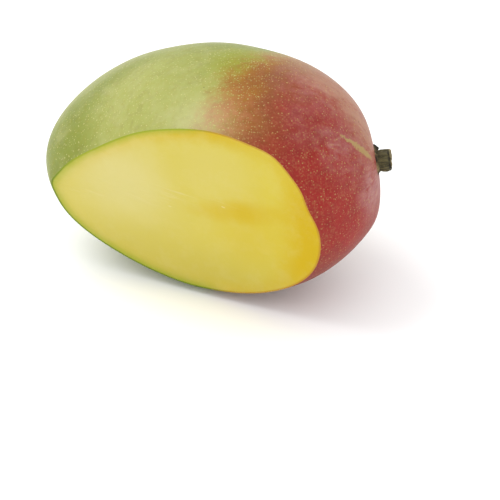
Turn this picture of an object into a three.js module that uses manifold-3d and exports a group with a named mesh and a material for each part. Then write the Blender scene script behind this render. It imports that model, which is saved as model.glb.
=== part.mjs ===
// A mango cut flat along its front, lying on a small flat spot, and the woody stub of its stem.
// Millimetres. +Z is up, +X points to the stem end and the cut face looks towards -Y.
// The origin is the middle of the flat spot that the fruit rests on.
import * as THREE from "three";
import { mergeVertices } from "three/addons/utils/BufferGeometryUtils.js";
import Module from "manifold-3d";

const wasm = await Module();
wasm.setup();

const radians = THREE.MathUtils.degToRad;

// The fruit along its own axes, from its thickest section: x to the stem, y to the back, z up.
const STEM_REACH = 56;
const APEX_REACH = 66;
const UPPER_HALF = 43.9;
const LOWER_HALF = 42.6;
const FRONT_HALF = 47.8;
const BACK_HALF = 41.8;

// How full each end and the cross-section are: 2 is an ellipse, more is blunter, less is more pointed.
const STEM_END_FULLNESS = 2.4;
const APEX_END_FULLNESS = 1.83;
const SECTION_FULLNESS = 2.05;

// The middle line bows and sweeps on its way from the apex to the stem, by these amounts at the ends.
const HALF_LENGTH = (STEM_REACH + APEX_REACH) / 2;
const UPWARD_BOW = 2.1;
const DOWNWARD_SWEEP = 3.8;
const FORWARD_BOW = 0.4;
const BACKWARD_SWEEP = 4.3;

// The broad cheek between the apex and the front, as a share of the reach there, fading over an angle.
const CHEEK_DIRECTION = new THREE.Vector3(-1, -0.99, 0.05).normalize();
const CHEEK_SHARE = 0.13;
const CHEEK_SPREAD = 0.52;

// The direction in which the stem grows out, and the shallow basin round it.
const STEM_DIRECTION = new THREE.Vector3(1, 0.54, -0.074).normalize();
const BASIN_DEPTH = 1.3;
const BASIN_RADIUS = 11;

// The shoulder behind the stem is flattened, and a low corner bulges in front of and below the stem.
const SHOULDER_DIRECTION = new THREE.Vector3(1, 0.77, 0.095).normalize();
const SHOULDER_DEPTH = 1.05;
const SHOULDER_RADIUS = 13.6;
const CORNER_DIRECTION = new THREE.Vector3(1, 0.34, -0.54).normalize();
const CORNER_HEIGHT = 1.08;
const CORNER_RADIUS = 9.5;

// Beside the cut: a brow above it and a dimple below that towards the stem, the small beak at the
// cut's far tip, and a flat temple above the beak.
const BROW_DIRECTION = new THREE.Vector3(0.735, -0.402, 0.55).normalize();
const BROW_HEIGHT = 1.3;
const BROW_RADIUS = 8.5;
const DIMPLE_DIRECTION = new THREE.Vector3(0.925, -0.353, 0.09).normalize();
const DIMPLE_DEPTH = 1.15;
const DIMPLE_RADIUS = 7;
const BEAK_DIRECTION = new THREE.Vector3(-0.662, -0.736, 0.13).normalize();
const BEAK_HEIGHT = 1.1;
const BEAK_RADIUS = 5;
const TEMPLE_DIRECTION = new THREE.Vector3(-0.45, -0.74, 0.5).normalize();
const TEMPLE_DEPTH = 0.55;
const TEMPLE_RADIUS = 14;

// The flat cut: its distance in front of the middle, its turn about z and its lean about x.
const CUT_OFFSET = 29.2;
const CUT_TURN = radians(13.3);
const CUT_LEAN = radians(2.1);

// How the fruit lies: its roll about its length, its pitch and its turn on the table.
const ROLL = radians(9.4);
const PITCH = radians(-10);
const YAW = radians(-40.2);
const FLAT_SPOT_DEPTH = 1.1;

// The stem stub stands on a lobed disc, and its root is sunk in the fruit.
const ROOT_DEPTH = 3;
const ROOT_RADIUS = 2.6;
const DISC_RADIUS = 5.4;
const DISC_UNDERSIDE = -1.5;
const DISC_LOBES = 5;
const DISC_LOBE_HEIGHT = 0.3;
const NECK_RADIUS = 3.6;
const STUB_RADIUS = 3.8;
const STUB_LENGTH = 5.4;
const STUB_RIBS = 9;
const STUB_RIB_SHARE = 0.035;
const STUB_OVAL_SHARE = 0.05;
const BEND_START = 0.7;
const BEND_END = 2.3;
const STUB_BEND = radians(7);
const SEAT_GAP = 0.3;

const SKIN_DIVISIONS = 15;
const STEM_SIDES = 40;
const CUTTER_SIZE = 300;

const signedPower = (value, power) => Math.sign(value) * Math.abs(value) ** power;

// The point of the skin in a direction from the fruit's middle.
function skinPoint(direction) {
  const { x: along, y: back, z: up } = direction;
  const round = Math.hypot(back, up);
  const fullness = along > 0 ? STEM_END_FULLNESS : APEX_END_FULLNESS;
  const x = signedPower(along, 2 / fullness) * (along > 0 ? STEM_REACH : APEX_REACH);
  const ring = round ** (2 / fullness);
  const cosine = round > 1e-6 ? back / round : 1;
  const sine = round > 1e-6 ? up / round : 0;
  const sum = Math.abs(cosine) ** SECTION_FULLNESS + Math.abs(sine) ** SECTION_FULLNESS;
  const around = ring * sum ** (-1 / SECTION_FULLNESS);
  const u = x / HALF_LENGTH;
  const point = new THREE.Vector3(
    x,
    around * cosine * (back > 0 ? BACK_HALF : FRONT_HALF) - FORWARD_BOW * u ** 2 + BACKWARD_SWEEP * u ** 3,
    around * sine * (up > 0 ? UPPER_HALF : LOWER_HALF) + UPWARD_BOW * u ** 2 - DOWNWARD_SWEEP * u ** 3,
  );
  const cheek = CHEEK_SHARE * Math.exp(-((direction.angleTo(CHEEK_DIRECTION) / CHEEK_SPREAD) ** 2));
  const reach = point.length();
  const rise = (towards, height, radius) => {
    return height * Math.exp(-(((direction.angleTo(towards) * reach) / radius) ** 2));
  };
  const byStem =
    rise(STEM_DIRECTION, -BASIN_DEPTH, BASIN_RADIUS) +
    rise(SHOULDER_DIRECTION, -SHOULDER_DEPTH, SHOULDER_RADIUS) +
    rise(CORNER_DIRECTION, CORNER_HEIGHT, CORNER_RADIUS);
  const byCut =
    rise(BROW_DIRECTION, BROW_HEIGHT, BROW_RADIUS) +
    rise(DIMPLE_DIRECTION, -DIMPLE_DEPTH, DIMPLE_RADIUS) +
    rise(BEAK_DIRECTION, BEAK_HEIGHT, BEAK_RADIUS) +
    rise(TEMPLE_DIRECTION, -TEMPLE_DEPTH, TEMPLE_RADIUS);
  return point.setLength(reach * (1 + cheek) + byStem + byCut);
}

// The skin's outward direction where the stem stands, from two small steps along the skin.
function skinOutward(direction) {
  const step = 0.02;
  const across = new THREE.Vector3(0, 0, 1).cross(direction).normalize();
  const over = direction.clone().cross(across);
  const here = skinPoint(direction);
  const beside = skinPoint(direction.clone().addScaledVector(across, step).normalize());
  const above = skinPoint(direction.clone().addScaledVector(over, step).normalize());
  return beside.sub(here).cross(above.sub(here)).normalize();
}

// A closed geometry as a solid that can be cut.
function solidOf(geometry) {
  const bare = new THREE.BufferGeometry().setAttribute("position", geometry.getAttribute("position"));
  bare.setIndex(geometry.getIndex());
  const merged = mergeVertices(bare, 1e-4);
  return new wasm.Manifold(
    new wasm.Mesh({
      numProp: 3,
      vertProperties: merged.getAttribute("position").array,
      triVerts: new Uint32Array(merged.getIndex().array),
    }),
  );
}

function geometryOf(solid) {
  const { vertProperties, triVerts } = solid.getMesh();
  const geometry = new THREE.BufferGeometry();
  geometry.setAttribute("position", new THREE.BufferAttribute(vertProperties, 3));
  geometry.setIndex(new THREE.BufferAttribute(triVerts, 1));
  geometry.computeVertexNormals();
  return geometry;
}

function eachVertex(geometry, change) {
  const position = geometry.getAttribute("position");
  const vertex = new THREE.Vector3();
  for (let i = 0; i < position.count; i++) {
    change(vertex.fromBufferAttribute(position, i));
    position.setXYZ(i, vertex.x, vertex.y, vertex.z);
  }
  return geometry;
}

function wholeFruit() {
  const ball = new THREE.IcosahedronGeometry(1, SKIN_DIVISIONS);
  return eachVertex(ball, (vertex) => vertex.copy(skinPoint(vertex.normalize())));
}

// The block in front of the cut, whose back face is the knife's plane.
function frontCutter() {
  const block = new THREE.BoxGeometry(CUTTER_SIZE, CUTTER_SIZE, CUTTER_SIZE);
  block.translate(0, -CUTTER_SIZE / 2, 0).rotateX(CUT_LEAN).rotateZ(CUT_TURN);
  return block.translate(0, -CUT_OFFSET, 0);
}

// The block under the fruit that presses the flat spot, in the fruit's own axes.
function tableCutter(fruit, lie) {
  let lowest = Infinity;
  eachVertex(fruit.clone(), (vertex) => {
    lowest = Math.min(lowest, vertex.applyQuaternion(lie).z);
  });
  const block = new THREE.BoxGeometry(CUTTER_SIZE, CUTTER_SIZE, CUTTER_SIZE);
  block.translate(0, 0, lowest + FLAT_SPOT_DEPTH - CUTTER_SIZE / 2);
  return block.applyQuaternion(lie.clone().invert());
}

// The outline of the stem from its root to its broken end, as radius and height above the skin.
function stemOutline() {
  const outline = [
    [0, -ROOT_DEPTH],
    [ROOT_RADIUS - 0.3, -ROOT_DEPTH],
    [ROOT_RADIUS, DISC_UNDERSIDE - 0.3],
    [ROOT_RADIUS + 0.4, DISC_UNDERSIDE],
    [DISC_RADIUS - 0.5, DISC_UNDERSIDE],
    [DISC_RADIUS, DISC_UNDERSIDE + 0.5],
    [DISC_RADIUS - 0.2, -0.6],
    [DISC_RADIUS - 0.9, -0.1],
    [NECK_RADIUS + 0.4, 0.4],
    [NECK_RADIUS, 0.9],
    [NECK_RADIUS, 1.4],
    [STUB_RADIUS - 0.05, 2.2],
    [STUB_RADIUS, 3.0],
    [STUB_RADIUS, STUB_LENGTH - 0.6],
    [STUB_RADIUS - 0.3, STUB_LENGTH - 0.15],
    [STUB_RADIUS - 1.4, STUB_LENGTH],
    [0, STUB_LENGTH - 0.3],
  ];
  return outline.map(([radius, height]) => new THREE.Vector2(radius, height));
}

// The stub is ribbed and a little oval and bends down just above its disc, and the disc has lobes.
function stemGeometry(down) {
  const stem = new THREE.LatheGeometry(stemOutline(), STEM_SIDES);
  const bendAxis = new THREE.Vector3(0, 1, 0).cross(down).normalize();
  return eachVertex(stem, (vertex) => {
    const angle = Math.atan2(vertex.x, vertex.z);
    const radius = Math.hypot(vertex.x, vertex.z);
    if (radius < 1e-6) return;
    let swelling = 0;
    if (vertex.y > BEND_START) {
      const ribs = STUB_RIB_SHARE * Math.cos(STUB_RIBS * angle);
      swelling = radius * (ribs + STUB_OVAL_SHARE * Math.cos(2 * angle));
    } else if (radius > ROOT_RADIUS + 1 && vertex.y >= DISC_UNDERSIDE) {
      swelling = DISC_LOBE_HEIGHT * Math.cos(DISC_LOBES * angle);
    }
    const wider = (radius + swelling) / radius;
    vertex.x *= wider;
    vertex.z *= wider;
    const bent = THREE.MathUtils.clamp((vertex.y - BEND_START) / (BEND_END - BEND_START), 0, 1);
    vertex.y -= BEND_START;
    vertex.applyAxisAngle(bendAxis, STUB_BEND * bent);
    vertex.y += BEND_START;
  });
}

// The hollow in the fruit that clears the stem's root and disc.
function stemSeat() {
  const rootRadius = ROOT_RADIUS + 0.4 + SEAT_GAP;
  const discRadius = DISC_RADIUS + DISC_LOBE_HEIGHT + SEAT_GAP;
  const top = STUB_LENGTH;
  const outline = [
    [0, -ROOT_DEPTH - SEAT_GAP],
    [rootRadius, -ROOT_DEPTH - SEAT_GAP],
    [rootRadius, DISC_UNDERSIDE - SEAT_GAP],
    [discRadius, DISC_UNDERSIDE - SEAT_GAP],
    [discRadius, top],
    [0, top],
  ];
  return new THREE.LatheGeometry(
    outline.map(([radius, height]) => new THREE.Vector2(radius, height)),
    STEM_SIDES,
  );
}

const lie = new THREE.Quaternion().setFromEuler(new THREE.Euler(ROLL, PITCH, YAW, "ZYX"));
const seatPoint = skinPoint(STEM_DIRECTION);
const lathe = new THREE.Vector3(0, 1, 0);
const seatTurn = new THREE.Quaternion().setFromUnitVectors(lathe, skinOutward(STEM_DIRECTION));

const whole = wholeFruit();
const seat = stemSeat().applyQuaternion(seatTurn).translate(seatPoint.x, seatPoint.y, seatPoint.z);
const cutFruit = solidOf(whole)
  .subtract(solidOf(frontCutter()))
  .subtract(solidOf(tableCutter(whole, lie)))
  .subtract(solidOf(seat));

const fruit = new THREE.Mesh(
  geometryOf(cutFruit),
  new THREE.MeshStandardMaterial({ color: 0xb39a4c, roughness: 0.42, metalness: 0 }),
);
fruit.name = "mango_fruit";

const towardsTable = new THREE.Vector3(0, 0, -1).applyQuaternion(lie.clone().multiply(seatTurn).invert());
const stem = new THREE.Mesh(
  stemGeometry(towardsTable),
  new THREE.MeshStandardMaterial({ color: 0x5d5434, roughness: 0.85, metalness: 0 }),
);
stem.name = "mango_stem";
stem.position.copy(seatPoint);
stem.quaternion.copy(seatTurn);

const lying = new THREE.Group();
lying.quaternion.copy(lie);
lying.add(fruit, stem);

// The middle of the flat spot comes to the origin.
const spot = new THREE.Box3();
const corners = [];
eachVertex(fruit.geometry.clone(), (vertex) => corners.push(vertex.clone().applyQuaternion(lie)));
const floor = Math.min(...corners.map((corner) => corner.z));
for (const corner of corners) {
  if (corner.z < floor + 1e-3) spot.expandByPoint(corner);
}
const middle = spot.getCenter(new THREE.Vector3());
lying.position.set(-middle.x, -middle.y, -floor);

const mango = new THREE.Group();
mango.add(lying);
export default mango;
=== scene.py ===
"""A red and green mango cut flat along its front, lying on its flat spot, with the stub of its stem."""

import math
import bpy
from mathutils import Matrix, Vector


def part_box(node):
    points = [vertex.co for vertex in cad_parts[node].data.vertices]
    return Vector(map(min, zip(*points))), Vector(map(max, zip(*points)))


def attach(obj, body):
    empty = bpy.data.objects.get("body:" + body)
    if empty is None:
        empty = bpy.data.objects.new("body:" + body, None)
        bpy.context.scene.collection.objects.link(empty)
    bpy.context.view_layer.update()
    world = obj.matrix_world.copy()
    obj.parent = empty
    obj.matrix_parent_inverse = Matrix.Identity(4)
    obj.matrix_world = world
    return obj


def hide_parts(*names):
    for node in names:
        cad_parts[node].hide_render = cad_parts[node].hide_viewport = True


bl_info = {
    "name": "Cut Mango",
    "version": (1, 0, 0),
    "blender": (4, 5, 0),
    "location": "3D View > Sidebar > Mango",
    "description": "Dresses the packed mango with its skin, cut flesh and woody stem, and sets the stage",
    "category": "Object",
}

import bmesh
import bpy
from bpy.props import FloatProperty, FloatVectorProperty, IntProperty, PointerProperty
from mathutils import Euler, Matrix, Vector, kdtree, noise
from mathutils.geometry import intersect_point_line

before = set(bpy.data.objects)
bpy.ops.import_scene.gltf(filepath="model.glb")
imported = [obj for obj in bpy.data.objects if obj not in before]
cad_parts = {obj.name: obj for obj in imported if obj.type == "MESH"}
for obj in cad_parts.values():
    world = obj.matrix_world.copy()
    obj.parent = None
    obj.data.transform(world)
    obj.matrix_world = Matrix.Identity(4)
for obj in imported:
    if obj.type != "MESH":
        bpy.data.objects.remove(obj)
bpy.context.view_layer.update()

MM = 0.001
TOLERANCE = 1e-6
UP = Vector((0, 0, 1))


# Settings that a user may change


class MangoForm(bpy.types.PropertyGroup):
    """The fruit's size and shape along its own axes: x to the stem, y to the back, z up."""

    stem_reach: FloatProperty(
        name="Stem reach", description="From the thickest section to the stem end",
        default=0.056, unit="LENGTH",
    )
    apex_reach: FloatProperty(
        name="Apex reach", description="From the thickest section to the apex", default=0.066, unit="LENGTH"
    )
    upper_half: FloatProperty(
        name="Upper half", description="From the middle line up to the skin", default=0.0439, unit="LENGTH"
    )
    lower_half: FloatProperty(
        name="Lower half", description="From the middle line down to the skin",
        default=0.0426, unit="LENGTH",
    )
    front_half: FloatProperty(
        name="Front half", description="From the middle line to the skin in front, uncut",
        default=0.0478, unit="LENGTH",
    )
    back_half: FloatProperty(
        name="Back half", description="From the middle line to the skin behind",
        default=0.0418, unit="LENGTH",
    )
    stem_end_fullness: FloatProperty(
        name="Stem end fullness", description="2 is an ellipse, more is blunter",
        default=2.4, min=1.2, max=4,
    )
    apex_end_fullness: FloatProperty(
        name="Apex end fullness", description="2 is an ellipse, less is more pointed",
        default=1.83, min=1.2, max=4,
    )
    section_fullness: FloatProperty(
        name="Section fullness", description="2 is round, more is squarer", default=2.05, min=1.2, max=4
    )
    upward_bow: FloatProperty(
        name="Upward bow", description="How far both ends rise from the middle line",
        default=0.0021, unit="LENGTH",
    )
    downward_sweep: FloatProperty(
        name="Downward sweep", description="How far the stem end sinks and the apex rises",
        default=0.0038, unit="LENGTH",
    )
    forward_bow: FloatProperty(
        name="Forward bow", description="How far both ends come forward", default=0.0004, unit="LENGTH"
    )
    backward_sweep: FloatProperty(
        name="Backward sweep", description="How far the stem end goes back and the apex forward",
        default=0.0043, unit="LENGTH",
    )
    cheek_share: FloatProperty(
        name="Cheek", description="How much the broad cheek by the apex swells, as a share of the reach",
        default=0.13,
    )
    cheek_spread: FloatProperty(
        name="Cheek spread", description="The angle over which the cheek fades",
        default=0.52, subtype="ANGLE",
    )
    basin_depth: FloatProperty(
        name="Basin depth", description="Depth of the hollow round the stem", default=0.0013, unit="LENGTH"
    )
    basin_radius: FloatProperty(
        name="Basin radius", description="How wide the hollow round the stem is",
        default=0.011, unit="LENGTH",
    )
    shoulder_depth: FloatProperty(
        name="Shoulder depth", description="How far the shoulder behind the stem is flattened",
        default=0.00105, unit="LENGTH",
    )
    shoulder_radius: FloatProperty(
        name="Shoulder radius", description="How wide the flattened shoulder is",
        default=0.0136, unit="LENGTH",
    )
    corner_height: FloatProperty(
        name="Corner height", description="How far the corner below the stem bulges",
        default=0.00108, unit="LENGTH",
    )
    corner_radius: FloatProperty(
        name="Corner radius", description="How wide the corner below the stem is",
        default=0.0095, unit="LENGTH",
    )
    brow_height: FloatProperty(
        name="Brow height", description="How far the brow above the cut swells",
        default=0.0013, unit="LENGTH",
    )
    brow_radius: FloatProperty(
        name="Brow radius", description="How wide the brow above the cut is", default=0.0085, unit="LENGTH"
    )
    dimple_depth: FloatProperty(
        name="Dimple depth", description="Depth of the dimple between cut and stem",
        default=0.00115, unit="LENGTH",
    )
    dimple_radius: FloatProperty(
        name="Dimple radius", description="How wide that dimple is", default=0.007, unit="LENGTH"
    )
    beak_height: FloatProperty(
        name="Beak height", description="How far the small beak by the apex stands out",
        default=0.0011, unit="LENGTH",
    )
    beak_radius: FloatProperty(
        name="Beak radius", description="How wide the beak is", default=0.005, unit="LENGTH"
    )
    temple_depth: FloatProperty(
        name="Temple depth", description="How far the skin above the beak is flattened",
        default=0.00055, unit="LENGTH",
    )
    temple_radius: FloatProperty(
        name="Temple radius", description="How wide that flat is", default=0.014, unit="LENGTH"
    )
    dent_height: FloatProperty(
        name="Dents", description="Height of the soft unevenness of the skin",
        default=0.00035, unit="LENGTH",
    )
    cut_offset: FloatProperty(
        name="Cut offset", description="The cut's distance in front of the middle",
        default=0.0292, unit="LENGTH",
    )
    cut_turn: FloatProperty(
        name="Cut turn", description="The cut's turn towards the stem",
        default=math.radians(13.3), subtype="ANGLE",
    )
    cut_lean: FloatProperty(
        name="Cut lean", description="How far the cut leans over",
        default=math.radians(2.1), subtype="ANGLE",
    )
    roll: FloatProperty(
        name="Roll", description="How far the fruit is rolled about its length",
        default=math.radians(9.4), subtype="ANGLE",
    )
    pitch: FloatProperty(
        name="Pitch", description="How far the stem end dips, so that less than 0 raises it",
        default=math.radians(-10), subtype="ANGLE",
    )
    yaw: FloatProperty(
        name="Turn", description="How the fruit is turned on the table",
        default=math.radians(-40.2), subtype="ANGLE",
    )
    skin_detail: IntProperty(
        name="Skin detail", description="Subdivisions of the ball that the skin is drawn from",
        default=7, min=4, max=8,
    )


class MangoSkin(bpy.types.PropertyGroup):
    """Colours of the skin."""

    green: FloatVectorProperty(
        name="Green", description="The shaded side's green", default=(0.305, 0.325, 0.08), subtype="COLOR"
    )
    # Dark green is the apex's own deeper green, and also painted shade towards the back and over the crown.
    dark_green: FloatVectorProperty(
        name="Dark green", description="The deeper green of the apex",
        default=(0.17, 0.207, 0.02), subtype="COLOR",
    )
    # Pale green is the bloom on the green. It is also the colour of the painted highlight above the cut and
    # of the painted sheen over the back.
    pale_green: FloatVectorProperty(
        name="Pale green", description="The bloom on the green", default=(0.42, 0.41, 0.18), subtype="COLOR"
    )
    lime: FloatVectorProperty(
        name="Lime", description="The yellower green on top", default=(0.23, 0.25, 0.005), subtype="COLOR"
    )
    olive: FloatVectorProperty(
        name="Olive", description="Where green turns to red", default=(0.26, 0.195, 0.012), subtype="COLOR"
    )
    rust: FloatVectorProperty(
        name="Rust", description="The first of the blush", default=(0.265, 0.11, 0.007), subtype="COLOR"
    )
    brick: FloatVectorProperty(
        name="Brick", description="The duller red on top", default=(0.212, 0.058, 0.013), subtype="COLOR"
    )
    red: FloatVectorProperty(
        name="Red", description="The full blush", default=(0.262, 0.017, 0.011), subtype="COLOR"
    )
    ripest: FloatVectorProperty(
        name="Ripest", description="The purest red beside the cut",
        default=(0.29, 0.012, 0.009), subtype="COLOR",
    )
    apricot: FloatVectorProperty(
        name="Apricot", description="The first blush over the cut",
        default=(0.40, 0.15, 0.052), subtype="COLOR",
    )
    # Beige is painted sheen, used for the band over the top of the back.
    beige_sheen: FloatVectorProperty(
        name="Beige", description="Bloom on the blush over the back",
        default=(0.47, 0.325, 0.185), subtype="COLOR",
    )
    # Pale pink is a painted highlight on the red just above the cut.
    pale_pink_highlight: FloatVectorProperty(
        name="Pale pink", description="Bloom on the first blush",
        default=(0.43, 0.35, 0.21), subtype="COLOR",
    )
    # The pale bloom on the red, which also stands in for painted sheen at the outline.
    bloom_and_sheen: FloatVectorProperty(
        name="Bloom", description="The pale dust on the red", default=(0.40, 0.185, 0.175), subtype="COLOR"
    )
    deepening: FloatVectorProperty(
        name="Deepening", description="What the darker flecks of the skin are dulled by",
        default=(0.76, 0.7, 0.74), subtype="COLOR",
    )
    # Painted shade that dulls the red where it turns under.
    underside_shade: FloatVectorProperty(
        name="Underside", description="What the red is dulled by where it turns under",
        default=(0.74, 0.8, 0.6), subtype="COLOR",
    )
    lenticel: FloatVectorProperty(
        name="Lenticel", description="The small pale dots on the red",
        default=(0.44, 0.27, 0.095), subtype="COLOR",
    )
    pale_dot: FloatVectorProperty(
        name="Pale dot", description="The small pale dots on the green",
        default=(0.46, 0.44, 0.15), subtype="COLOR",
    )
    scar: FloatVectorProperty(
        name="Scar", description="The healed graze near the stem",
        default=(0.37, 0.27, 0.10), subtype="COLOR",
    )
    speck: FloatVectorProperty(
        name="Speck", description="The few dark specks", default=(0.06, 0.035, 0.02), subtype="COLOR"
    )
    roughness: FloatProperty(
        name="Roughness", description="How dull the wax is", default=0.42, min=0, max=1
    )


class MangoFlesh(bpy.types.PropertyGroup):
    """Colours of the cut flesh."""

    pale: FloatVectorProperty(
        name="Pale", description="Flesh towards the apex", default=(0.59, 0.52, 0.19), subtype="COLOR"
    )
    light: FloatVectorProperty(
        name="Light", description="Flesh round the pale part",
        default=(0.555, 0.475, 0.108), subtype="COLOR",
    )
    # Painted shade colour for the flesh low down near the table.
    low: FloatVectorProperty(
        name="Low", description="Flesh near the table", default=(0.49, 0.405, 0.062), subtype="COLOR"
    )
    fibre: FloatVectorProperty(
        name="Fibre", description="Long fibres over the stone", default=(0.66, 0.59, 0.30), subtype="COLOR"
    )
    under_skin: FloatVectorProperty(
        name="Under skin", description="Unripe flesh next to the green skin",
        default=(0.345, 0.365, 0.025), subtype="COLOR",
    )
    yellow: FloatVectorProperty(
        name="Yellow", description="Flesh in the middle", default=(0.565, 0.46, 0.05), subtype="COLOR"
    )
    orange: FloatVectorProperty(
        name="Orange", description="Ripest flesh under the blush",
        default=(0.535, 0.365, 0.003), subtype="COLOR",
    )
    glint: FloatVectorProperty(
        name="Glint", description="Short wet glints on the fibres",
        default=(0.8, 0.74, 0.45), subtype="COLOR",
    )
    rim_green: FloatVectorProperty(
        name="Green rim", description="The skin's edge low on the green side",
        default=(0.125, 0.19, 0.008), subtype="COLOR",
    )
    rim_lime: FloatVectorProperty(
        name="Lime rim", description="The skin's edge on top of the green side",
        default=(0.27, 0.32, 0.018), subtype="COLOR",
    )
    rim_red: FloatVectorProperty(
        name="Red rim", description="The skin's edge on the red side",
        default=(0.36, 0.13, 0.02), subtype="COLOR",
    )
    rim_width: FloatProperty(
        name="Rim width", description="Thickness of the skin in the cut", default=0.001, unit="LENGTH"
    )
    roughness: FloatProperty(
        name="Roughness", description="How dull the juice is", default=0.38, min=0, max=1
    )


class MangoStem(bpy.types.PropertyGroup):
    """Size and colours of the stem stub."""

    disc_radius: FloatProperty(
        name="Disc radius", description="Radius of the scar disc", default=0.0054, unit="LENGTH"
    )
    neck_radius: FloatProperty(
        name="Neck radius", description="Thinnest radius of the stub", default=0.0036, unit="LENGTH"
    )
    stub_radius: FloatProperty(
        name="Stub radius", description="Radius of the stub near its end", default=0.0038, unit="LENGTH"
    )
    stub_length: FloatProperty(
        name="Stub length", description="From the skin to the broken end", default=0.0054, unit="LENGTH"
    )
    bend: FloatProperty(
        name="Bend", description="How far the stub bends down just above its disc",
        default=math.radians(7), subtype="ANGLE",
    )
    bark: FloatVectorProperty(
        name="Bark", description="The stub's side", default=(0.115, 0.10, 0.038), subtype="COLOR"
    )
    # Painted highlight colour for paler patches on the bark.
    bark_highlight: FloatVectorProperty(
        name="Pale bark", description="Worn parts of the bark", default=(0.19, 0.16, 0.075), subtype="COLOR"
    )
    disc: FloatVectorProperty(
        name="Disc", description="The scar disc", default=(0.23, 0.155, 0.065), subtype="COLOR"
    )
    # Dark bark, also used for the painted shade in the pit on the disc.
    dark: FloatVectorProperty(
        name="Dark bark", description="Cracks and knobs", default=(0.012, 0.009, 0.005), subtype="COLOR"
    )
    wood: FloatVectorProperty(
        name="Broken wood", description="The broken end", default=(0.30, 0.24, 0.13), subtype="COLOR"
    )


class MangoStage(bpy.types.PropertyGroup):
    """Camera, floor and light."""

    target: FloatVectorProperty(
        name="Target", description="The point that the camera looks at",
        default=(0.0128, 0.0101, -0.0011), subtype="TRANSLATION",
    )
    distance: FloatProperty(
        name="Distance", description="From the camera to the target", default=1.003, unit="LENGTH"
    )
    elevation: FloatProperty(
        name="Elevation", description="How steeply the camera looks down",
        default=math.radians(32.7), subtype="ANGLE",
    )
    lens: FloatProperty(name="Lens", description="Focal length in millimetres", default=195.6)
    key_power: FloatProperty(
        name="Key light", description="Power of the large soft light in watts", default=7
    )
    key_offset: FloatVectorProperty(
        name="Key light offset", description="From the target to the light",
        default=(-0.72, 0.22, 1.05), subtype="TRANSLATION",
    )
    key_size: FloatProperty(
        name="Key light size", description="Width of the light", default=1, unit="LENGTH"
    )
    floor_reach: FloatProperty(
        name="Floor reach", description="From the middle of the floor to its edges",
        default=4, unit="LENGTH",
    )
    sky: FloatProperty(
        name="Surrounding light", description="Strength of the white surroundings", default=1.2
    )


# The form, in the fruit's own axes, with directions from its middle

TO_STEM = Vector((1, 0.54, -0.074)).normalized()
TO_SHOULDER = Vector((1, 0.77, 0.095))
TO_CORNER = Vector((1, 0.34, -0.54))
TO_BROW = Vector((0.735, -0.402, 0.55))
TO_DIMPLE = Vector((0.925, -0.353, 0.09))
TO_BEAK = Vector((-0.662, -0.736, 0.13))
TO_TEMPLE = Vector((-0.45, -0.74, 0.5))
TO_CHEEK = Vector((-1, -0.99, 0.05))
DENTS_PER_METRE = 45
SLOPE_STEP = 0.02

# The cut flesh's unevenness: waves per metre and height, and the calm border along the rim
CUT_WAVES = ((60, 0.4 * MM), (220, 0.1 * MM))
CALM_BORDER = 6 * MM


def signed_power(value, power):
    """A power of the value's size, with the value's sign."""
    return math.copysign(abs(value) ** power, value)


def skin_point(form, direction):
    """The point of the skin in a direction from the fruit's middle."""
    along, back, up = direction
    ring_share = math.hypot(back, up)
    at_stem = along > 0
    fullness = form.stem_end_fullness if at_stem else form.apex_end_fullness
    x = signed_power(along, 2 / fullness) * (form.stem_reach if at_stem else form.apex_reach)
    cosine, sine = (back / ring_share, up / ring_share) if ring_share > TOLERANCE else (1, 0)
    section = form.section_fullness
    squareness = (abs(cosine) ** section + abs(sine) ** section) ** (-1 / section)
    around = ring_share ** (2 / fullness) * squareness
    y = around * cosine * (form.back_half if back > 0 else form.front_half)
    z = around * sine * (form.upper_half if up > 0 else form.lower_half)
    lengthwise = 2 * x / (form.stem_reach + form.apex_reach)
    point = Vector((
        x,
        y - form.forward_bow * lengthwise**2 + form.backward_sweep * lengthwise**3,
        z + form.upward_bow * lengthwise**2 - form.downward_sweep * lengthwise**3,
    ))
    cheek = form.cheek_share * math.exp(-((direction.angle(TO_CHEEK) / form.cheek_spread) ** 2))
    rises = (
        (TO_STEM, -form.basin_depth, form.basin_radius),
        (TO_SHOULDER, -form.shoulder_depth, form.shoulder_radius),
        (TO_CORNER, form.corner_height, form.corner_radius),
        (TO_BROW, form.brow_height, form.brow_radius),
        (TO_DIMPLE, -form.dimple_depth, form.dimple_radius),
        (TO_BEAK, form.beak_height, form.beak_radius),
        (TO_TEMPLE, -form.temple_depth, form.temple_radius),
    )
    reach = point.length
    risen = form.dent_height * noise.noise(point * DENTS_PER_METRE)
    for towards, height, radius in rises:
        risen += height * math.exp(-((direction.angle(towards) * reach / radius) ** 2))
    return point * (1 + cheek + risen / reach)


def skin_outward(form, direction):
    """The skin's outward direction there, from two small steps along it."""
    across = UP.cross(direction).normalized()
    over = direction.cross(across)
    here = skin_point(form, direction)
    beside = skin_point(form, (direction + across * SLOPE_STEP).normalized())
    above = skin_point(form, (direction + over * SLOPE_STEP).normalized())
    return (beside - here).cross(above - here).normalized()


def lie_of(form):
    """How the fruit lies: rolled about its length, its stem end raised, and then turned on the table."""
    roll = Matrix.Rotation(form.roll, 4, "X")
    pitch = Matrix.Rotation(form.pitch, 4, "Y")
    yaw = Matrix.Rotation(form.yaw, 4, "Z")
    return yaw @ pitch @ roll


def cut_plane(form):
    """A point of the cut's plane and its outward direction, in the fruit's own axes."""
    outward = Euler((form.cut_lean, 0, form.cut_turn)).to_matrix() @ Vector((0, -1, 0))
    return Vector((0, -form.cut_offset, 0)), outward


def box_of(points):
    """The lowest and highest corners of the points' box."""
    low = Vector([min(point[axis] for point in points) for axis in range(3)])
    high = Vector([max(point[axis] for point in points) for axis in range(3)])
    return low, high


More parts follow.
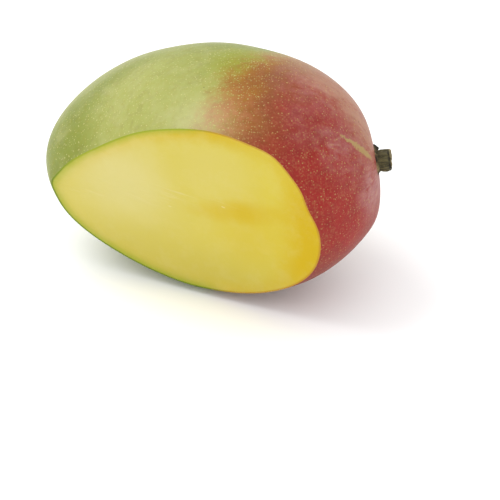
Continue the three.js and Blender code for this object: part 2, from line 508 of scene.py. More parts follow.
def shift_onto(cad_box, points, level_tops=False):
    """The move that sets points in the middle of the CAD's box, or in height level with its top."""
    low, high = box_of(points)
    cad_low, cad_high = (Vector(corner) for corner in cad_box)
    shift = (cad_low + cad_high - low - high) / 2
    if level_tops:
        shift.z = cad_high.z - high.z
    return shift


def place_of(form, cut_points):
    """The matrix that sets the cut fruit down where the CAD's fruit lies."""
    lie = lie_of(form)
    shift = shift_onto(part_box("mango_fruit"), [lie @ point for point in cut_points], level_tops=True)
    return Matrix.Translation(shift) @ lie


def score(surface, point, outward):
    """Draws an edge loop on a surface where a plane meets it."""
    everything = surface.verts[:] + surface.edges[:] + surface.faces[:]
    bmesh.ops.bisect_plane(surface, geom=everything, plane_co=point, plane_no=outward, dist=TOLERANCE)


def finished_object(name, surface, materials):
    """A shown object at the origin, from a bmesh and its materials."""
    mesh = bpy.data.meshes.new(name)
    surface.to_mesh(mesh)
    surface.free()
    for material in materials:
        mesh.materials.append(material)
    piece = bpy.data.objects.new(name, mesh)
    bpy.context.scene.collection.objects.link(piece)
    return piece


# Shader building


class Wire:
    """A node's output. Arithmetic on it adds Math nodes."""

    def __init__(self, look, socket):
        self.look = look
        self.socket = socket

    def __add__(self, other):
        return self.look.math("ADD", self, other)

    __radd__ = __add__

    def __sub__(self, other):
        return self.look.math("SUBTRACT", self, other)

    def __rsub__(self, other):
        return self.look.math("SUBTRACT", other, self)

    def __mul__(self, other):
        return self.look.math("MULTIPLY", self, other)

    __rmul__ = __mul__

    def __truediv__(self, other):
        return self.look.math("DIVIDE", self, other)


class Look:
    """A material under construction, with the few nodes that this object's finishes need."""

    def __init__(self, name, **constants):
        self.material = bpy.data.materials.new(name)
        self.material.use_nodes = True
        self.tree = self.material.node_tree
        self.shader = self.tree.nodes["Principled BSDF"]
        for socket, value in constants.items():
            self.set(socket.replace("_", " "), value)
        self.place = self.node("ShaderNodeTexCoord", output="Object")
        self.colour = None

    def node(self, kind, settings=None, inputs=None, output=0):
        """The output of a new node."""
        node = self.tree.nodes.new(kind)
        for key, value in (settings or {}).items():
            setattr(node, key, value)
        for key, value in (inputs or {}).items():
            self.feed(node.inputs[key], value)
        return Wire(self, node.outputs[output])

    def feed(self, socket, value):
        """Links an output to a socket, or sets a constant."""
        if isinstance(value, Wire):
            self.tree.links.new(value.socket, socket)
        elif socket.type == "RGBA":
            socket.default_value = (*value, 1)
        else:
            socket.default_value = value

    def set(self, name, value):
        self.feed(self.shader.inputs[name], value)

    def parts(self, vector):
        first = self.node("ShaderNodeSeparateXYZ", None, {0: vector})
        return [Wire(self, output) for output in first.socket.node.outputs]

    def math(self, operation, first, second=0.0):
        return self.node("ShaderNodeMath", {"operation": operation}, {0: first, 1: second})

    def vector_math(self, operation, inputs, output="Vector"):
        return self.node("ShaderNodeVectorMath", {"operation": operation}, inputs, output)

    def dot(self, vector, direction):
        return self.vector_math("DOT_PRODUCT", {0: vector, 1: tuple(direction)}, "Value")

    def distance(self, vector, point):
        return self.vector_math("DISTANCE", {0: vector, 1: tuple(point)}, "Value")

    def near(self, point, reach, core=0.0):
        """1 within the core round a point of the object, fading to 0 at its reach."""
        return self.fade(self.distance(self.place, point), reach, core)

    def rise(self, value, start, end, settings=None):
        """0 before start, 1 after end, straight between."""
        inputs = {"Value": value, "From Min": start, "From Max": end}
        return self.node("ShaderNodeMapRange", settings, inputs)

    def fade(self, value, start, end):
        """0 before start, 1 after end, smooth between. Start may be the larger."""
        return self.rise(value, start, end, {"interpolation_type": "SMOOTHSTEP"})

    def dots(self, scale, radius, missing, vector=None):
        """Round dots in cells of 1 / scale metres, their radius a share of the cell, some missing."""
        inputs = {"Vector": vector or self.place, "Scale": scale, "Randomness": 0.65}
        cells = self.node("ShaderNodeTexVoronoi", {"feature": "F1"}, inputs)
        chance = self.parts(Wire(self, cells.socket.node.outputs["Color"]))[0]
        return self.fade(cells, 1.2 * radius, 0.6 * radius) * self.fade(chance, missing, missing + 0.3)

    def rays(self, point, spread, drift):
        """Coordinates for streaks that run out from a point and wander slowly on their way."""
        away = self.vector_math("SUBTRACT", {0: self.place, 1: tuple(point)})
        course = self.vector_math("NORMALIZE", {0: away})
        spread_out = self.vector_math("SCALE", {0: course, "Scale": spread})
        return self.vector_math("MULTIPLY_ADD", {0: away, 1: (drift, drift, drift), 2: spread_out})

    def stretched(self, turn, scale):
        """Object coordinates turned and then scaled along each axis."""
        inputs = {"Vector": self.place, "Rotation": turn}
        turned = self.node("ShaderNodeMapping", {"vector_type": "POINT"}, inputs)
        return self.vector_math("MULTIPLY", {0: turned, 1: scale})

    def noise(self, scale, detail, roughness, vector=None, warp=0.0):
        """Noise between 0 and 1 with waves of 1 / scale metres."""
        inputs = {"Vector": vector or self.place, "Scale": scale, "Detail": detail}
        return self.node("ShaderNodeTexNoise", None, inputs | {"Roughness": roughness, "Distortion": warp})

    def mix(self, share, first, second, blend="MIX"):
        """The first colour with a share of the second laid over it."""
        settings = {"data_type": "RGBA", "blend_type": blend}
        return self.node("ShaderNodeMix", settings, {0: share, 6: first, 7: second}, 2)

    def paint(self, share, tint, blend="MIX"):
        """Lays a share of a tint over the colour so far."""
        self.colour = self.mix(share, self.colour, tint, blend)

    def ramp(self, value, stops):
        """Colours at their positions along the value, blended between."""
        ramp = self.node("ShaderNodeValToRGB", None, {0: value})
        elements = ramp.socket.node.color_ramp.elements
        while len(elements) < len(stops):
            elements.new(1)
        for element, (position, colour) in zip(elements, stops):
            element.position = position
            element.color = (*colour, 1)
        return ramp

    def attribute(self, name):
        return self.node("ShaderNodeAttribute", {"attribute_name": name}, None, "Fac")

    def bump(self, height, reach, normal=None, strength=1.0):
        """A normal bent by a height, on top of another."""
        inputs = {"Height": height, "Distance": reach, "Strength": strength}
        if normal:
            inputs["Normal"] = normal
        return self.node("ShaderNodeBump", None, inputs)


# Where the fruit is coloured, in the part's frame
# A spot is its place, its reach, and the core that is fully covered.

BLUSH_SLANT = 0.6
GREEN_CHEEK = (-0.018, -0.016, 0.075)
# The shaded crown is painted shade over the top of the green.
SHADED_CROWN = ((-0.004, -0.001, 0.086), 0.022, 0.004)
LIME_SPOT = ((0.0122, -0.0045, 0.0872), 0.018, 0.004)
# The next two spots are painted highlight just above the cut, one on the green and one on the red.
HIGHLIGHT_SPOT = ((-0.004, -0.0328, 0.078), 0.019, 0.002)
PINK_HIGHLIGHT_SPOT = ((0.0005, -0.034, 0.0784), 0.013, 0.001)
FIRST_BLUSH = ((0.0062, -0.0315, 0.0803), 0.016, 0.003)
RIPEST_ABOVE = ((0.039, -0.040, 0.058), 0.02, 0.003)
RIPEST_BELOW = ((0.048, -0.038, 0.037), 0.017, 0.003)
DUSKIEST = ((0.030, -0.035, 0.0763), 0.013, 0.002)
PALE_FLESH = ((-0.033, -0.0165, 0.045), 0.027, 0.004)
PALE_ABOVE = ((0.002, -0.035, 0.058), 0.02, 0.006)
RIPE_TOP = ((-0.0054, -0.0329, 0.073), 0.026, 0.004)
RIPE_SIDE = ((0.037, -0.0464, 0.037), 0.034, 0.008)
RIPE_MIDDLE = ((0.014, -0.036, 0.036), 0.022, 0.004)
RIPE_HEART = ((0.0115, -0.0355, 0.0434), 0.008)

# Clouds of bloom and painted sheen on the red, each with its strength before its spot
THIN_BLOOM = 0.06
BLOOM_AND_SHEEN_CLOUDS = (
    (0.7, (0.050, -0.019, 0.070), 0.020),
    (1.5, (0.058, -0.025, 0.047), 0.015, 0.004),
    (0.9, (0.032, -0.015, 0.084), 0.019),
    (1.0, (0.042, -0.034, 0.070), 0.011),
    (0.9, (0.044, 0.004, 0.070), 0.022, 0.004),
    (0.35, (0.030, -0.034, 0.077), 0.01),
    (0.4, (0.048, -0.032, 0.061), 0.014, 0.002),
)

# The healed graze on the shoulder, and the skin's outward direction there
GRAZE_START = Vector((0.0442, -0.0292, 0.0705))
GRAZE_END = Vector((0.0551, -0.0225, 0.0572))
GRAZE_OUTWARD = Vector((0.75, -0.4, 0.5))

# The ripe patch over the stone: its middle and half size along the cut and in height, and its slope
PATCH_MIDDLE = (0.0225, 0.0386)
PATCH_HALF = (0.0175, 0.0048)
PATCH_SLOPE = 0.19
FIBRE_SLOPE = 0.15
FIBRE_HEIGHT = 0.0435


def graze(look, ragged):
    """1 on the healed graze, which tapers to both ends and has ragged edges."""
    run = GRAZE_END - GRAZE_START
    lengthwise = run / run.length_squared
    across = run.cross(GRAZE_OUTWARD).normalized()
    along = look.dot(look.place, lengthwise) - GRAZE_START.dot(lengthwise)
    off_line = look.math("ABSOLUTE", look.dot(look.place, across) - GRAZE_START.dot(across))
    gap = off_line + 0.0032 * (ragged - 0.5)
    taper = 0.45 + 0.55 * look.fade(along, 0.0, 0.45) * look.fade(along, 1.1, 0.7)
    ends = look.fade(along, -0.05, 0.05) * look.fade(along, 1.05, 0.9)
    this_side = look.near((GRAZE_START + GRAZE_END) / 2, 0.02, 0.012)
    return look.fade(gap / taper, 0.0014, 0.0005) * ends * this_side


def skin_material(skin, stem_point):
    """Green skin with a red blush, bloom, painted sheen, highlight and shade, small pale dots and a healed
    graze.
    """
    look = Look("mango_skin", Specular_IOR_Level=0.17)
    x, y, z = look.parts(look.place)
    broad = look.noise(22, 2, 0.5)
    mottle = look.noise(95, 4, 0.6, warp=0.6)
    fine = look.noise(420, 3, 0.6)
    grain = look.noise(1300, 2, 0.6)
    # A sway is a noise about zero.
    broad_sway = broad - 0.5
    mottle_sway = mottle - 0.5
    fine_sway = fine - 0.5

    # The blush grows towards the stem end and the front, stippled where it begins.
    blush_reach = x - BLUSH_SLANT * y + 0.016 * broad_sway + 0.022 * mottle_sway
    blush = look.rise(blush_reach - 0.005 * look.fade(y, -0.012, 0.01), 0.004, 0.05)
    stippled = blush + 0.3 * fine_sway + 0.2 * (grain - 0.5)

    # Green side: deeper towards the apex, with painted shade towards the back and over the crown; paler
    # with bloom in patches, and a painted highlight along the top of the cut.
    from_cheek = look.distance(look.place, GREEN_CHEEK) + 0.016 * broad_sway
    # Darker towards the apex: partly the skin's own deeper green, partly painted shade where the skin turns
    # away towards the back and over the crown.
    deeper_green_and_shade = look.fade(from_cheek, 0.02, 0.046) + 0.3 * look.fade(y, 0.0, 0.02) + 0.3 * look.near(*SHADED_CROWN)
    green = look.mix(deeper_green_and_shade, skin.green, skin.dark_green)
    yellower = look.near(*LIME_SPOT)
    haze = look.fade(mottle, 0.42, 0.7) * (1 - yellower) * (1 - 0.6 * look.fade(y, 0.004, 0.024))
    # Painted highlight in pale green just above the cut; the red is held back under it.
    pale = look.near(*HIGHLIGHT_SPOT)
    # Pale sage over the top of the back: partly bloom, partly painted sheen along the outline where the
    # skin turns away.
    sage_bloom_and_sheen = look.fade(y + 0.007 * mottle_sway, 0.010, 0.025) * look.fade(z, 0.035, 0.06)
    green = look.mix(0.28 * haze + 0.7 * pale + 0.3 * sage_bloom_and_sheen, green, skin.pale_green)
    green = look.mix(0.85 * yellower, green, skin.lime)

    # Red side, laid over the green and held back under the painted highlight: paler with a painted pink
    # highlight, and pinker with a first blush, where it begins above the cut.
    reds = [(0.1, skin.olive), (0.36, skin.rust), (0.66, skin.brick), (0.98, skin.red)]
    red_share = look.fade(stippled, -0.08, 0.44) * (1 - 0.6 * pale)
    look.colour = look.mix(red_share, green, look.ramp(stippled, reds))
    # Painted highlight in pale pink flecks where the red begins above the cut.
    pink = look.near(*PINK_HIGHLIGHT_SPOT) * look.fade(fine + 0.5 * grain, 0.5, 1.0)
    look.paint(0.5 * pink, skin.pale_pink_highlight)
    first_blush = look.near(*FIRST_BLUSH) * look.fade(fine + 0.5 * mottle, 0.4, 0.95)
    look.paint(0.62 * first_blush, skin.apricot)

    # The ripest part beside the cut is a purer red.
    ripest = look.near(*RIPEST_ABOVE) + 1.3 * look.near(*RIPEST_BELOW)
    ripest = ripest * look.fade(broad + 0.4 * mottle_sway, 0.15, 0.5)
    look.paint(0.8 * ripest, skin.ripest)

    # Dusky and dusty streaks run out from the stem, with clouds of bloom on the shoulder that are partly
    # painted sheen where the skin turns away at the outline.
    streaks = look.noise(1, 5, 0.7, look.rays(stem_point, 4.5, 60), 0.3)
    dusk = look.noise(1, 5, 0.7, look.rays(stem_point, 5, 90), 0.5)
    dusky = 0.6 * look.fade(dusk, 0.4, 0.75) + 0.5 * look.near(*DUSKIEST)
    look.paint(dusky * blush, skin.deepening, "MULTIPLY")
    bloom_and_sheen_clouds = THIN_BLOOM
    for strength, *spot in BLOOM_AND_SHEEN_CLOUDS:
        bloom_and_sheen_clouds = bloom_and_sheen_clouds + strength * look.near(*spot)
    # Bloom, partly painted sheen near the outline.
    dust_and_sheen = look.fade(streaks + 0.3 * fine_sway + 0.4 * mottle_sway, 0.2, 0.85) * blush * bloom_and_sheen_clouds
    look.paint(0.85 * dust_and_sheen, skin.bloom_and_sheen)
    # Painted sheen: a pale beige band over the top of the back, along the outline where the skin turns
    # away.
    over_the_back = look.fade(y + 0.64 * x + 0.01 * mottle_sway, 0.0, 0.0165) * look.fade(z, 0.05, 0.066)
    beige_sheen = over_the_back * look.fade(streaks, 0.1, 0.55) * blush
    look.paint(0.42 * beige_sheen, skin.beige_sheen)

    # Fine light and dark flecks.
    flecks = look.fade(grain + 0.5 * fine_sway, 0.45, 0.75) * blush
    look.paint(0.2 * flecks, skin.lenticel)
    shade = look.fade(look.noise(190, 5, 0.7, warp=0.8), 0.46, 0.72)
    look.paint(0.45 * shade, skin.deepening, "MULTIPLY")

    # Painted shade: the red duller and browner where it turns under towards the table.
    shaded_underside = look.fade(z, 0.036, 0.012) * blush
    look.paint(0.85 * shaded_underside, skin.underside_shade, "MULTIPLY")

    # Lenticels: small pale dots, larger ones among fine ones, and the finest where green turns to red.
    turning = look.fade(blush, 0.0, 0.25) * look.fade(blush, 0.85, 0.5)
    dots = look.dots(600, 0.18, 0.0) + (0.85 + 0.15 * turning) * look.dots(850, 0.2, 0.0)
    dots = dots + 0.8 * turning * look.dots(1150, 0.22, 0.0)
    dot_colour = look.mix(look.fade(blush, 0.3, 0.8), skin.pale_dot, skin.lenticel)
    look.paint((0.7 - 0.12 * blush) * dots, dot_colour)

    # The healed graze that runs towards the stem, and dark specks.
    ragged = look.noise(700, 3, 0.7)
    scar = graze(look, ragged)
    look.paint(0.8 * scar, skin.scar)
    look.paint(0.6 * look.dots(150, 0.04, 0.3), skin.speck)

    look.set("Base Color", look.colour)
    look.set("Roughness", skin.roughness + 0.16 * fine_sway + 0.12 * dust_and_sheen + 0.2 * scar)
    pores = look.bump(dots, 0.00006)
    uneven = look.bump(fine + 0.4 * mottle, 0.00012, pores, 0.7)
    look.set("Normal", look.bump(scar * ragged, 0.0002, uneven))
    return look.material


def flesh_material(flesh, outward):
    """Wet flesh, riper along the cut and next to the skin, with the skin's edge round it."""
    look = Look("mango_flesh", Specular_IOR_Level=0.15, Subsurface_Weight=0.12, Subsurface_Scale=1.0)
    look.set("Subsurface Radius", (0.006, 0.004, 0.0015))
    x, y, z = look.parts(look.place)
    rim = look.attribute("from_rim")
    broad_sway = look.noise(30, 3, 0.5) - 0.5
    cloud = look.noise(120, 4, 0.6)
    cloud_sway = cloud - 0.5
    grain = look.noise(600, 3, 0.6)
    grain_sway = grain - 0.5
    level = UP.cross(outward).normalized()
    along = look.dot(look.place, level)
    stemward = x - BLUSH_SLANT * y

    # Riper along the cut, from the apex to the stem end, with painted shade low down near the table.
    look.colour = look.mix(look.fade(along + 0.012 * broad_sway, -0.03, 0.045), flesh.light, flesh.yellow)
    look.paint(0.85 * look.near(*PALE_FLESH), flesh.pale)
    look.paint(0.25 * look.near(*PALE_ABOVE), flesh.pale)
    # Painted shade: the flesh darker low down near the table.
    look.paint(0.8 * look.fade(z + 0.006 * broad_sway, 0.034, 0.008), flesh.low)

    # Deeper coloured next to the skin: faint all round, stronger at the top and widest near the stem.
    ripe_side = look.near(*RIPE_SIDE)
    depth = 0.006 + 0.010 * ripe_side
    band = look.fade(rim / depth + 0.5 * cloud_sway + 0.15 * grain_sway, 1.35, 0.0)
    green_side = look.fade(stemward, 0.022, 0.006)
    olive_side = green_side * look.fade(z, 0.058, 0.04)
    ripe_all = 0.42 - 0.3 * olive_side + 0.5 * look.near(*RIPE_TOP) + 0.75 * ripe_side
    look.paint(band * ripe_all, flesh.orange)
    unripe = look.fade(rim + 0.0012 * cloud_sway, 0.0036, 0.0003)
    look.paint(0.8 * unripe * green_side, flesh.under_skin)
    look.paint(0.3 * look.fade(rim, 0.006, 0.0008) * olive_side, flesh.rim_lime)
    look.paint(0.07 * look.fade(cloud + 0.3 * grain_sway, 0.42, 0.68), flesh.fibre)

    # A ripe patch lies over the stone.
    patch_along = (along - PATCH_MIDDLE[0]) / PATCH_HALF[0]
    patch_up = (z - PATCH_SLOPE * along - PATCH_MIDDLE[1]) / PATCH_HALF[1]
    patch = look.fade(patch_along * patch_along + patch_up * patch_up + 1.1 * cloud_sway, 1.8, -0.5)
    look.paint(0.22 * look.near(*RIPE_MIDDLE), flesh.orange)
    look.paint(0.62 * patch, flesh.orange)
    look.paint(0.35 * look.near(*RIPE_HEART), flesh.orange)

    # A few faint fibres run along it, with short wet glints.
    turn = (0, -FIBRE_SLOPE, -math.atan2(level.y, level.x))
    fibres = look.noise(1, 3, 0.6, look.stretched(turn, (40, 300, 750)), 0.3)
    off_heart = look.math("ABSOLUTE", z - FIBRE_SLOPE * along - FIBRE_HEIGHT)
    heart = look.fade(off_heart, 0.0075, 0.001) * look.fade(along, 0.034, 0.0)
    streak = look.fade(fibres, 0.57, 0.78) * heart * look.fade(rim, 0.004, 0.014)
    look.paint(0.4 * streak, flesh.fibre)
    glints = look.dots(1, 0.13, 0.6, look.stretched(turn, (150, 220, 480))) * heart
    look.paint(0.6 * glints, flesh.glint)

    # The skin's own edge.
    skin_edge = look.fade(rim + 0.0003 * cloud_sway, flesh.rim_width, 0.3 * flesh.rim_width)
    red_side = look.fade(stemward, 0.008, 0.03)
    green_rim = look.mix(look.fade(z, 0.034, 0.054), flesh.rim_green, flesh.rim_lime)
    edge_colour = look.mix(red_side, green_rim, flesh.rim_red)
    look.paint(skin_edge * (1 - 0.45 * red_side), edge_colour)

    look.set("Base Color", look.colour)
    look.set("Roughness", flesh.roughness + 0.25 * cloud_sway - 0.1 * streak - 0.15 * glints)
    soft = look.bump(fibres * heart + 0.6 * cloud + 0.4 * glints, 0.00022)
    look.set("Normal", look.bump(grain, 0.00006, soft))
    return look.material


def stem_material(stem, base, axis):
    """Dry ridged bark on a paler disc, with a broken woody end and a crack round it."""
    look = Look("mango_stem_bark", Specular_IOR_Level=0.3)
    height = look.dot(look.place, axis) - base.dot(axis)
    tilt = axis.rotation_difference(UP).to_euler()
    ridges = look.noise(1, 4, 0.65, look.stretched(tuple(tilt), (1500, 1500, 260)), 0.4)
    knots = look.noise(420, 3, 0.6)
    knots_sway = knots - 0.5
    look.colour = look.mix(look.fade(ridges, 0.3, 0.7), stem.dark, stem.bark)
    # Painted highlight: paler patches on the bark.
    look.paint(0.6 * look.fade(knots, 0.5, 0.75), stem.bark_highlight)
    look.paint(look.fade(height, 0.0009, 0.0003) * look.fade(knots, 0.35, 0.55), stem.disc)
    end = look.fade(height, stem.stub_length - 0.0005, stem.stub_length - 0.0001)
    look.paint(0.8 * end * look.fade(knots, 0.3, 0.6), stem.wood)
    crack_gap = look.math("ABSOLUTE", height - stem.stub_length + 0.0009 + 0.001 * knots_sway)
    crack = look.fade(crack_gap, 0.00045, 0.0002) * look.fade(look.noise(260, 2, 0.5), 0.42, 0.55)
    look.paint(0.9 * crack, stem.dark)
    # Dark bract knobs, and painted shade in the pit on the disc.
    look.paint(0.95 * look.attribute("dark"), stem.dark)
    look.set("Base Color", look.colour)
    look.set("Roughness", 0.72 + 0.3 * knots_sway)
    look.set("Normal", look.bump(ridges + 0.5 * knots - crack, 0.0003))
    return look.material


# Pieces and stage


class MANGO_OT_fruit(bpy.types.Operator):
    """Make the fruit: skin drawn from a fine ball, one flat cut, and the flat spot it rests on"""

    bl_idname = "mango.make_fruit"
    bl_label = "Make fruit"

    def execute(self, context):
        form = context.scene.mango_form
        fruit = bmesh.new()
        from_rim = fruit.verts.layers.float.new("from_rim")
        bmesh.ops.create_icosphere(fruit, subdivisions=form.skin_detail, radius=1)
        for vert in fruit.verts:
            vert.co = skin_point(form, vert.co.normalized())

        # The cut: an edge loop on its plane, then the skin beyond it is drawn back onto the plane.
        point, outward = cut_plane(form)
        score(fruit, point, outward)
        reach = point.dot(outward)
        for vert in fruit.verts:
            beyond = vert.co.dot(outward)
            if beyond > reach:
                vert.co *= reach / beyond

        matrix = place_of(form, [vert.co for vert in fruit.verts])
        fruit.transform(matrix)
        outward = (matrix.to_3x3() @ outward).normalized()
        reach = (matrix @ point).dot(outward)
        on_cut = {vert for vert in fruit.verts if abs(vert.co.dot(outward) - reach) < 2 * TOLERANCE}
        for face in fruit.faces:
            face.smooth = True
            if all(vert in on_cut for vert in face.verts):
                face.material_index = 1
        rim = [edge for edge in fruit.edges if len({face.material_index for face in edge.link_faces}) == 2]
        for edge in rim:
            edge.smooth = False
        self.uneven_cut(rim, on_cut, outward, from_rim)

        # The flat spot.
        score(fruit, (0, 0, 0), (0, 0, -1))
        for vert in fruit.verts:
            vert.co.z = max(vert.co.z, 0)

        skin = skin_material(context.scene.mango_skin, matrix @ skin_point(form, TO_STEM))
        flesh = flesh_material(context.scene.mango_flesh, outward)
        piece = finished_object("fruit_body", fruit, [skin, flesh])
        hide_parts("mango_fruit")
        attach(piece, "root")
        return {"FINISHED"}

    def uneven_cut(self, rim, on_cut, outward, from_rim):
        """Notes each point's distance from the rim, and lets the cut flesh rise and fall a little."""
        rim_ends = [tuple(vert.co.copy() for vert in edge.verts) for edge in rim]
        edge_points = kdtree.KDTree(len(rim))
        for index, (start, end) in enumerate(rim_ends):
            edge_points.insert((start + end) / 2, index)
        edge_points.balance()
        for vert in on_cut:
            gaps = []
            for _, index, _ in edge_points.find_n(vert.co, 4):
                start, end = rim_ends[index]
                share = min(max(intersect_point_line(vert.co, start, end)[1], 0), 1)
                gaps.append((vert.co - start.lerp(end, share)).length)
            gap = min(gaps)
            vert[from_rim] = gap
            wave = sum(noise.noise(vert.co * waves) * height for waves, height in CUT_WAVES)
            vert.co += outward * wave * min(gap / CALM_BORDER, 1)


# The stem's own measures: heights above the skin, and angles round the stub

BEND_START = 0.7 * MM
BEND_LENGTH = 1.6 * MM
# Ribs are their number round the stub, their phase, and their height as a share of the radius.
RIBS = ((9, 0, 0.035), (17, 1, 0.02), (2, 0, 0.05))
# Knobs are their angle, how far they rise and how wide they are. All are darkened; the one that sinks is a
# pit, and its dark is painted shade.
KNOBS = ((2.6, 1.1 * MM, 1.3 * MM), (-1.0, 0.3 * MM, 0.6 * MM), (-2.3, -0.3 * MM, 1.4 * MM))
LOBES = 5
DISC_UNDERSIDE = -1.6 * MM
DISC_TOP = -0.9 * MM
DISC_INNER_RADIUS = 3 * MM
BROKEN_ANGLE = -0.64
BROKEN_WIDTH = 0.5
BROKEN_DEPTH = 1.7 * MM


class MANGO_OT_stem(bpy.types.Operator):
    """Make the woody stem stub on its scar disc, spun from one outline and then ribbed"""

    bl_idname = "mango.make_stem"
    bl_label = "Make stem"

    def outline(self, stem):
        """Radius and height above the skin in millimetres, from the sunken root to the broken end."""
        disc = stem.disc_radius / MM
        neck = stem.neck_radius / MM
        stub = stem.stub_radius / MM
        length = stem.stub_length / MM
        return [
            (0, -3.0), (2.3, -3.0),
            (2.6, -1.8), (3.0, -1.5),
            (disc - 0.6, -1.4), (disc - 0.1, -1.1),
            (disc, -0.8), (disc - 0.15, -0.55),
            (disc - 0.5, -0.25), (disc - 0.9, -0.05),
            (neck + 0.45, 0.35), (neck + 0.1, 0.7),
            (neck, 1.0), (neck, 1.4),
            (neck + 0.1, 1.8), (stub - 0.05, 2.3),
            (stub, 3.0), (stub, length - 0.9),
            (stub - 0.03, length - 0.5), (stub - 0.15, length - 0.15),
            (stub - 0.6, length), (stub - 1.4, length - 0.15),
            (0.9, length - 0.3), (0, length - 0.3),
        ]

    def execute(self, context):
        form = context.scene.mango_form
        stem = context.scene.mango_stem
        stub = bmesh.new()
        stub.verts.layers.float.new("dark")
        verts = [stub.verts.new((radius * MM, 0, height * MM)) for radius, height in self.outline(stem)]
        edges = [stub.edges.new(pair) for pair in zip(verts, verts[1:])]
        bmesh.ops.spin(
            stub, geom=verts + edges, axis=(0, 0, 1), angle=math.tau, steps=72, use_merge=True
        )
        bmesh.ops.remove_doubles(stub, verts=stub.verts, dist=TOLERANCE)
        bmesh.ops.recalc_face_normals(stub, faces=stub.faces)
        bmesh.ops.subdivide_edges(stub, edges=stub.edges, cuts=1, use_grid_fill=True)
        self.weather(stub, stem)
        for face in stub.faces:
            face.smooth = True

        axis = lie_of(form).to_3x3() @ skin_outward(form, TO_STEM)
        turn = UP.rotation_difference(axis).to_matrix()
        pivot = axis * BEND_START
        bend_axis = axis.cross(-UP).normalized()
        for vert in stub.verts:
            bent = min(max((vert.co.z - BEND_START) / BEND_LENGTH, 0), 1)
            vert.co = Matrix.Rotation(stem.bend * bent, 3, bend_axis) @ (turn @ vert.co - pivot) + pivot
        base = shift_onto(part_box("mango_stem"), [vert.co for vert in stub.verts])
        stub.transform(Matrix.Translation(base))
        piece = finished_object("stem_stub", stub, [stem_material(stem, base, axis)])
        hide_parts("mango_stem")
        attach(piece, "root")
        return {"FINISHED"}

    def weather(self, stub, stem):
        """Ribs along the stub; lobes, dark bract knobs and a pit darkened with painted shade on the disc;
        and a rough broken end.
        """
        dark = stub.verts.layers.float["dark"]
        for vert in stub.verts:
            radius = math.hypot(vert.co.x, vert.co.y)
            if radius < 10 * TOLERANCE:
                continue
            angle = math.atan2(vert.co.y, vert.co.x)
            rough = noise.noise(Vector((math.cos(angle) * 3, math.sin(angle) * 3, vert.co.z * 260)))
            swelling = 0
            if vert.co.z > BEND_START:
                ribs = sum(share * math.cos(count * angle + phase) for count, phase, share in RIBS)
                swelling = radius * (ribs + 0.04 * rough)
            elif vert.co.z > DISC_UNDERSIDE and radius > DISC_INNER_RADIUS + 0.1 * MM:
                swelling = 0.3 * MM * math.cos(LOBES * angle) + 0.25 * MM * rough
                swelling += self.raise_knobs(vert, dark, angle, radius)
            if vert.co.z > stem.stub_length - BROKEN_DEPTH:
                swelling -= self.break_end(vert, angle, radius, stem.stub_length)
            vert.co.x *= 1 + swelling / radius
            vert.co.y *= 1 + swelling / radius

    def raise_knobs(self, vert, dark, angle, radius):
        """Lifts and darkens a point of the disc where it is on a knob; where the knob sinks into a pit, the
        dark is painted shade. Returns how far it goes outwards.
        """
        outwards = 0
        for knob_angle, lift, spread in KNOBS:
            off = math.remainder(angle - knob_angle, math.tau) * radius
            outer = min((radius - DISC_INNER_RADIUS) / MM, 1)
            bulge = math.exp(-((off / (0.8 * spread + 0.3 * MM)) ** 2)) * outer
            outwards += 0.5 * lift * bulge
            if vert.co.z > DISC_TOP:
                vert.co.z += lift * bulge
            vert[dark] = min(vert[dark] + 1.4 * bulge, 1)
        return outwards

    def break_end(self, vert, angle, radius, length):
        """Roughens a point of the broken end and lowers its corner. Returns how far it goes inwards."""
        off = math.remainder(angle - BROKEN_ANGLE, math.tau) / BROKEN_WIDTH
        outer = min(radius / (2.5 * MM), 1)
        broken = math.exp(-(off**2)) * outer * (vert.co.z - length + BROKEN_DEPTH) / BROKEN_DEPTH
        vert.co.z += 0.3 * MM * noise.noise(vert.co * 900) - 0.9 * MM * broken
        return 0.1 * broken * radius


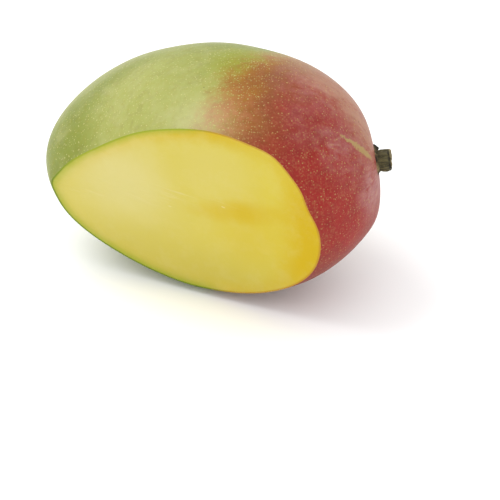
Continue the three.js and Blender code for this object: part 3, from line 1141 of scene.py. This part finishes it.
class MANGO_OT_stage(bpy.types.Operator):
    """Set the pale floor, the soft light and the camera"""

    bl_idname = "mango.set_stage"
    bl_label = "Set stage"

    def execute(self, context):
        stage = context.scene.mango_stage
        floor = bmesh.new()
        bmesh.ops.create_grid(floor, x_segments=8, y_segments=8, size=stage.floor_reach)
        look = Look("floor_white", Roughness=0.9, Specular_IOR_Level=0.0, Base_Color=(0.95, 0.95, 0.95))
        finished_object("floor", floor, [look.material])

        world = bpy.data.worlds.new("surroundings")
        world.use_nodes = True
        background = world.node_tree.nodes["Background"]
        background.inputs["Color"].default_value = (1, 1, 1, 1)
        background.inputs["Strength"].default_value = stage.sky
        context.scene.world = world

        self.key_light(context, stage)
        self.camera(context, stage)
        context.scene.view_settings.view_transform = "Standard"
        return {"FINISHED"}

    def key_light(self, context, stage):
        """One large soft light that faces the target."""
        lamp = bpy.data.lights.new("key", "AREA")
        lamp.shape = "DISK"
        lamp.size = stage.key_size
        lamp.energy = stage.key_power
        light = bpy.data.objects.new("key", lamp)
        offset = Vector(stage.key_offset)
        light.location = Vector(stage.target) + offset
        light.rotation_euler = (-offset).to_track_quat("-Z", "Y").to_euler()
        context.scene.collection.objects.link(light)

    def camera(self, context, stage):
        """The camera in front of the target, looking down at it."""
        lens = bpy.data.cameras.new("camera")
        lens.lens = stage.lens
        lens.sensor_width = 36
        lens.clip_start = 0.05
        lens.clip_end = 50
        camera = bpy.data.objects.new("camera", lens)
        context.scene.collection.objects.link(camera)
        back = Vector((0, -math.cos(stage.elevation), math.sin(stage.elevation)))
        camera.location = Vector(stage.target) + back * stage.distance
        camera.rotation_euler = (math.pi / 2 - stage.elevation, 0, 0)
        context.scene.camera = camera


class MANGO_PT_panel(bpy.types.Panel):
    """The mango's settings and steps"""

    bl_idname = "MANGO_PT_panel"
    bl_label = "Cut Mango"
    bl_space_type = "VIEW_3D"
    bl_region_type = "UI"
    bl_category = "Mango"

    def draw(self, context):
        for operator, settings in STEPS:
            box = self.layout.box()
            for name in settings:
                group = getattr(context.scene, name)
                for key in group.__annotations__:
                    box.prop(group, key)
            box.operator(operator.bl_idname)


SETTINGS = {
    "mango_form": MangoForm,
    "mango_skin": MangoSkin,
    "mango_flesh": MangoFlesh,
    "mango_stem": MangoStem,
    "mango_stage": MangoStage,
}
STEPS = [
    (MANGO_OT_fruit, ["mango_form", "mango_skin", "mango_flesh"]),
    (MANGO_OT_stem, ["mango_stem"]),
    (MANGO_OT_stage, ["mango_stage"]),
]
CLASSES = [*SETTINGS.values(), MANGO_OT_fruit, MANGO_OT_stem, MANGO_OT_stage, MANGO_PT_panel]


def register():
    for cls in CLASSES:
        bpy.utils.register_class(cls)
    for name, group in SETTINGS.items():
        setattr(bpy.types.Scene, name, PointerProperty(type=group))


def unregister():
    for name in SETTINGS:
        delattr(bpy.types.Scene, name)
    for cls in reversed(CLASSES):
        bpy.utils.unregister_class(cls)


def main():
    register()
    bpy.ops.mango.make_fruit()
    bpy.ops.mango.make_stem()
    bpy.ops.mango.set_stage()


if __name__ == "__main__":
    main()
